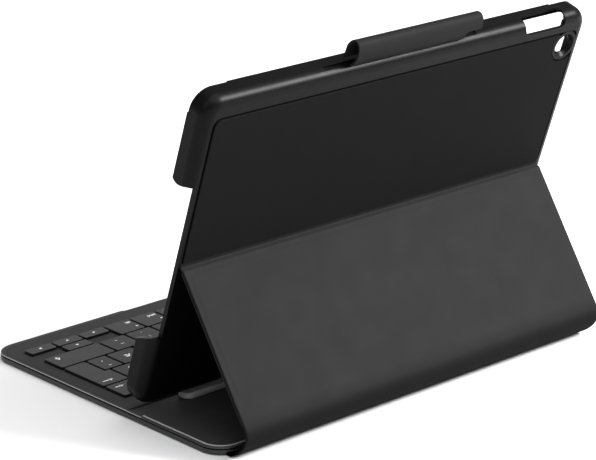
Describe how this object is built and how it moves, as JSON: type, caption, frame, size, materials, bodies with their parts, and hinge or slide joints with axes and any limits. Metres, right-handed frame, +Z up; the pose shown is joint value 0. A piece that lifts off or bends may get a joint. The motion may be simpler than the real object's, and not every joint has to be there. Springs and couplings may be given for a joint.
{
  "type": "tablet keyboard case",
  "caption": "Folding tablet case with a slim keyboard deck, spine, support panel and a rigid tray with lips, camera hole, volume slot, open home end and a magnetic closing flap.",
  "frame": {"origin": "middle of the keyboard deck's underside, which lies on the table", "axes": "+X to the typist's right, +Y away from the typist towards the spine, +Z up"},
  "size_m": [0.248, 0.1896, 0.181],
  "materials": {
    "deck_cover": "fine moulded texture, satin black",
    "key_surface": "fine-textured matt dark grey",
    "rear_surface": "smooth matt synthetic leather",
    "docking_bar": "satin dark grey",
    "magnet": "nickel-plated",
    "steel": "cold-rolled sheet",
    "membrane": "translucent film",
    "circuit": "solder-masked laminate",
    "cell": "pouch foil",
    "lens": "clear light pipe",
    "lower_skin": "fine-grained synthetic leather",
    "upper_skin": "fine-grained synthetic leather",
    "flap_skin": "fine-grained synthetic leather",
    "board": "stiffener board",
    "lining": "brushed microfibre",
    "tray": "satin-gloss moulded shell",
    "key": "matt keycap"
  },
  "bodies": {
    "deck": {"base_cover": "deck_cover", "key_plate": "key_surface", "rear_plate": "rear_surface", "docking_bar": "docking_bar", "dock_magnet_right": "magnet", "dock_magnet_left": "magnet", "backing_plate": "steel", "membrane_sheet": "membrane", "circuit_board": "circuit", "battery": "cell", "latch_plate": "steel", "charge_port": "steel", "status_light": "lens"},
    "spine": {"spine_strip": "lower_skin"},
    "support_panel": {"panel_outer_skin": "lower_skin", "panel_board": "board", "panel_inner_skin": "lining"},
    "tray": {"tray_shell": "tray", "back_panel": "upper_skin", "tray_lining": "lining", "tray_magnet_right": "magnet", "tray_magnet_left": "magnet"},
    "flap": {"closing_flap": "flap_skin", "flap_magnet": "magnet"},
    "key_accent": {"key_accent": "key"},
    "key_ae": {"key_ae": "key"},
    "key_alt_right": {"key_alt_right": "key"},
    "key_backspace": {"key_backspace": "key"},
    "key_comma": {"key_comma": "key"},
    "key_command_right": {"key_command_right": "key"},
    "key_down": {"key_down": "key"},
    "key_eight": {"key_eight": "key"},
    "key_equals": {"key_equals": "key"},
    "key_hash": {"key_hash": "key"},
    "key_i": {"key_i": "key"},
    "key_j": {"key_j": "key"},
    "key_k": {"key_k": "key"},
    "key_l": {"key_l": "key"},
    "key_left": {"key_left": "key"},
    "key_m": {"key_m": "key"},
    "key_minus": {"key_minus": "key"},
    "key_n": {"key_n": "key"},
    "key_nine": {"key_nine": "key"},
    "key_o": {"key_o": "key"},
    "key_oe": {"key_oe": "key"},
    "key_p": {"key_p": "key"},
    "key_period": {"key_period": "key"},
    "key_plus": {"key_plus": "key"},
    "key_return": {"key_return": "key"},
    "key_right": {"key_right": "key"},
    "key_ring_a": {"key_ring_a": "key"},
    "key_shift_right": {"key_shift_right": "key"},
    "key_space": {"key_space": "key"},
    "key_up": {"key_up": "key"},
    "key_zero": {"key_zero": "key"},
    "keys_front_row_left": {"keys_front_row_left": "key"},
    "keys_home_row_left": {"keys_home_row_left": "key"},
    "keys_number_row_left": {"keys_number_row_left": "key"},
    "keys_shift_row_left": {"keys_shift_row_left": "key"},
    "keys_top_row_left": {"keys_top_row_left": "key"}
  },
  "joints": [
    {"name": "panel_fold", "type": "hinge", "parent": "spine", "child": "support_panel", "pos_m": [0, 0.09724, 0.01706], "axis": [1, 0, 0], "range_deg": [-14, 34]},
    {"name": "tray_fold", "type": "hinge", "parent": "support_panel", "child": "tray", "pos_m": [0, 0.05525, 0.08198], "axis": [1, 0, 0], "range_deg": [-75, 31]},
    {"name": "spine_fold", "type": "hinge", "parent": "deck", "child": "spine", "pos_m": [0, 0.0873, 0.0007], "axis": [1, 0, 0], "range_deg": [-25, 0]},
    {"name": "flap_fold", "type": "hinge", "parent": "tray", "child": "flap", "pos_m": [0, 0.08217, 0.16926], "axis": [1, 0, 0], "range_deg": [-60, 0]},
    {"name": "press_accent", "type": "slide", "parent": "deck", "child": "key_accent", "axis": [0, 0, 1], "range_m": [-0.001, 0], "stiffness_N_per_m": 600, "springref_m": 0.0004},
    {"name": "press_ae", "type": "slide", "parent": "deck", "child": "key_ae", "axis": [0, 0, 1], "range_m": [-0.001, 0], "stiffness_N_per_m": 600, "springref_m": 0.0004},
    {"name": "press_alt_right", "type": "slide", "parent": "deck", "child": "key_alt_right", "axis": [0, 0, 1], "range_m": [-0.001, 0], "stiffness_N_per_m": 600, "springref_m": 0.0004},
    {"name": "press_backspace", "type": "slide", "parent": "deck", "child": "key_backspace", "axis": [0, 0, 1], "range_m": [-0.001, 0], "stiffness_N_per_m": 600, "springref_m": 0.0004},
    {"name": "press_comma", "type": "slide", "parent": "deck", "child": "key_comma", "axis": [0, 0, 1], "range_m": [-0.001, 0], "stiffness_N_per_m": 600, "springref_m": 0.0004},
    {"name": "press_command_right", "type": "slide", "parent": "deck", "child": "key_command_right", "axis": [0, 0, 1], "range_m": [-0.001, 0], "stiffness_N_per_m": 600, "springref_m": 0.0004},
    {"name": "press_down", "type": "slide", "parent": "deck", "child": "key_down", "axis": [0, 0, 1], "range_m": [-0.001, 0], "stiffness_N_per_m": 600, "springref_m": 0.0004},
    {"name": "press_eight", "type": "slide", "parent": "deck", "child": "key_eight", "axis": [0, 0, 1], "range_m": [-0.001, 0], "stiffness_N_per_m": 600, "springref_m": 0.0004},
    {"name": "press_equals", "type": "slide", "parent": "deck", "child": "key_equals", "axis": [0, 0, 1], "range_m": [-0.001, 0], "stiffness_N_per_m": 600, "springref_m": 0.0004},
    {"name": "press_hash", "type": "slide", "parent": "deck", "child": "key_hash", "axis": [0, 0, 1], "range_m": [-0.001, 0], "stiffness_N_per_m": 600, "springref_m": 0.0004},
    {"name": "press_i", "type": "slide", "parent": "deck", "child": "key_i", "axis": [0, 0, 1], "range_m": [-0.001, 0], "stiffness_N_per_m": 600, "springref_m": 0.0004},
    {"name": "press_j", "type": "slide", "parent": "deck", "child": "key_j", "axis": [0, 0, 1], "range_m": [-0.001, 0], "stiffness_N_per_m": 600, "springref_m": 0.0004},
    {"name": "press_k", "type": "slide", "parent": "deck", "child": "key_k", "axis": [0, 0, 1], "range_m": [-0.001, 0], "stiffness_N_per_m": 600, "springref_m": 0.0004},
    {"name": "press_l", "type": "slide", "parent": "deck", "child": "key_l", "axis": [0, 0, 1], "range_m": [-0.001, 0], "stiffness_N_per_m": 600, "springref_m": 0.0004},
    {"name": "press_left", "type": "slide", "parent": "deck", "child": "key_left", "axis": [0, 0, 1], "range_m": [-0.001, 0], "stiffness_N_per_m": 600, "springref_m": 0.0004},
    {"name": "press_m", "type": "slide", "parent": "deck", "child": "key_m", "axis": [0, 0, 1], "range_m": [-0.001, 0], "stiffness_N_per_m": 600, "springref_m": 0.0004},
    {"name": "press_minus", "type": "slide", "parent": "deck", "child": "key_minus", "axis": [0, 0, 1], "range_m": [-0.001, 0], "stiffness_N_per_m": 600, "springref_m": 0.0004},
    {"name": "press_n", "type": "slide", "parent": "deck", "child": "key_n", "axis": [0, 0, 1], "range_m": [-0.001, 0], "stiffness_N_per_m": 600, "springref_m": 0.0004},
    {"name": "press_nine", "type": "slide", "parent": "deck", "child": "key_nine", "axis": [0, 0, 1], "range_m": [-0.001, 0], "stiffness_N_per_m": 600, "springref_m": 0.0004},
    {"name": "press_o", "type": "slide", "parent": "deck", "child": "key_o", "axis": [0, 0, 1], "range_m": [-0.001, 0], "stiffness_N_per_m": 600, "springref_m": 0.0004},
    {"name": "press_oe", "type": "slide", "parent": "deck", "child": "key_oe", "axis": [0, 0, 1], "range_m": [-0.001, 0], "stiffness_N_per_m": 600, "springref_m": 0.0004},
    {"name": "press_p", "type": "slide", "parent": "deck", "child": "key_p", "axis": [0, 0, 1], "range_m": [-0.001, 0], "stiffness_N_per_m": 600, "springref_m": 0.0004},
    {"name": "press_period", "type": "slide", "parent": "deck", "child": "key_period", "axis": [0, 0, 1], "range_m": [-0.001, 0], "stiffness_N_per_m": 600, "springref_m": 0.0004},
    {"name": "press_plus", "type": "slide", "parent": "deck", "child": "key_plus", "axis": [0, 0, 1], "range_m": [-0.001, 0], "stiffness_N_per_m": 600, "springref_m": 0.0004},
    {"name": "press_return", "type": "slide", "parent": "deck", "child": "key_return", "axis": [0, 0, 1], "range_m": [-0.001, 0], "stiffness_N_per_m": 600, "springref_m": 0.0004},
    {"name": "press_right", "type": "slide", "parent": "deck", "child": "key_right", "axis": [0, 0, 1], "range_m": [-0.001, 0], "stiffness_N_per_m": 600, "springref_m": 0.0004},
    {"name": "press_ring_a", "type": "slide", "parent": "deck", "child": "key_ring_a", "axis": [0, 0, 1], "range_m": [-0.001, 0], "stiffness_N_per_m": 600, "springref_m": 0.0004},
    {"name": "press_shift_right", "type": "slide", "parent": "deck", "child": "key_shift_right", "axis": [0, 0, 1], "range_m": [-0.001, 0], "stiffness_N_per_m": 600, "springref_m": 0.0004},
    {"name": "press_space", "type": "slide", "parent": "deck", "child": "key_space", "axis": [0, 0, 1], "range_m": [-0.001, 0], "stiffness_N_per_m": 600, "springref_m": 0.0004},
    {"name": "press_up", "type": "slide", "parent": "deck", "child": "key_up", "axis": [0, 0, 1], "range_m": [-0.001, 0], "stiffness_N_per_m": 600, "springref_m": 0.0004},
    {"name": "press_zero", "type": "slide", "parent": "deck", "child": "key_zero", "axis": [0, 0, 1], "range_m": [-0.001, 0], "stiffness_N_per_m": 600, "springref_m": 0.0004},
    {"name": "press_front_row_left", "type": "slide", "parent": "deck", "child": "keys_front_row_left", "axis": [0, 0, 1], "range_m": [-0.001, 0], "stiffness_N_per_m": 4800, "springref_m": 0.0004},
    {"name": "press_home_row_left", "type": "slide", "parent": "deck", "child": "keys_home_row_left", "axis": [0, 0, 1], "range_m": [-0.001, 0], "stiffness_N_per_m": 4800, "springref_m": 0.0004},
    {"name": "press_number_row_left", "type": "slide", "parent": "deck", "child": "keys_number_row_left", "axis": [0, 0, 1], "range_m": [-0.001, 0], "stiffness_N_per_m": 4800, "springref_m": 0.0004},
    {"name": "press_shift_row_left", "type": "slide", "parent": "deck", "child": "keys_shift_row_left", "axis": [0, 0, 1], "range_m": [-0.001, 0], "stiffness_N_per_m": 4800, "springref_m": 0.0004},
    {"name": "press_top_row_left", "type": "slide", "parent": "deck", "child": "keys_top_row_left", "axis": [0, 0, 1], "range_m": [-0.001, 0], "stiffness_N_per_m": 4800, "springref_m": 0.0004}
  ],
  "couplings": [
    {"joint": "tray_fold", "follows": "panel_fold", "ratio": -2.2}
  ]
}
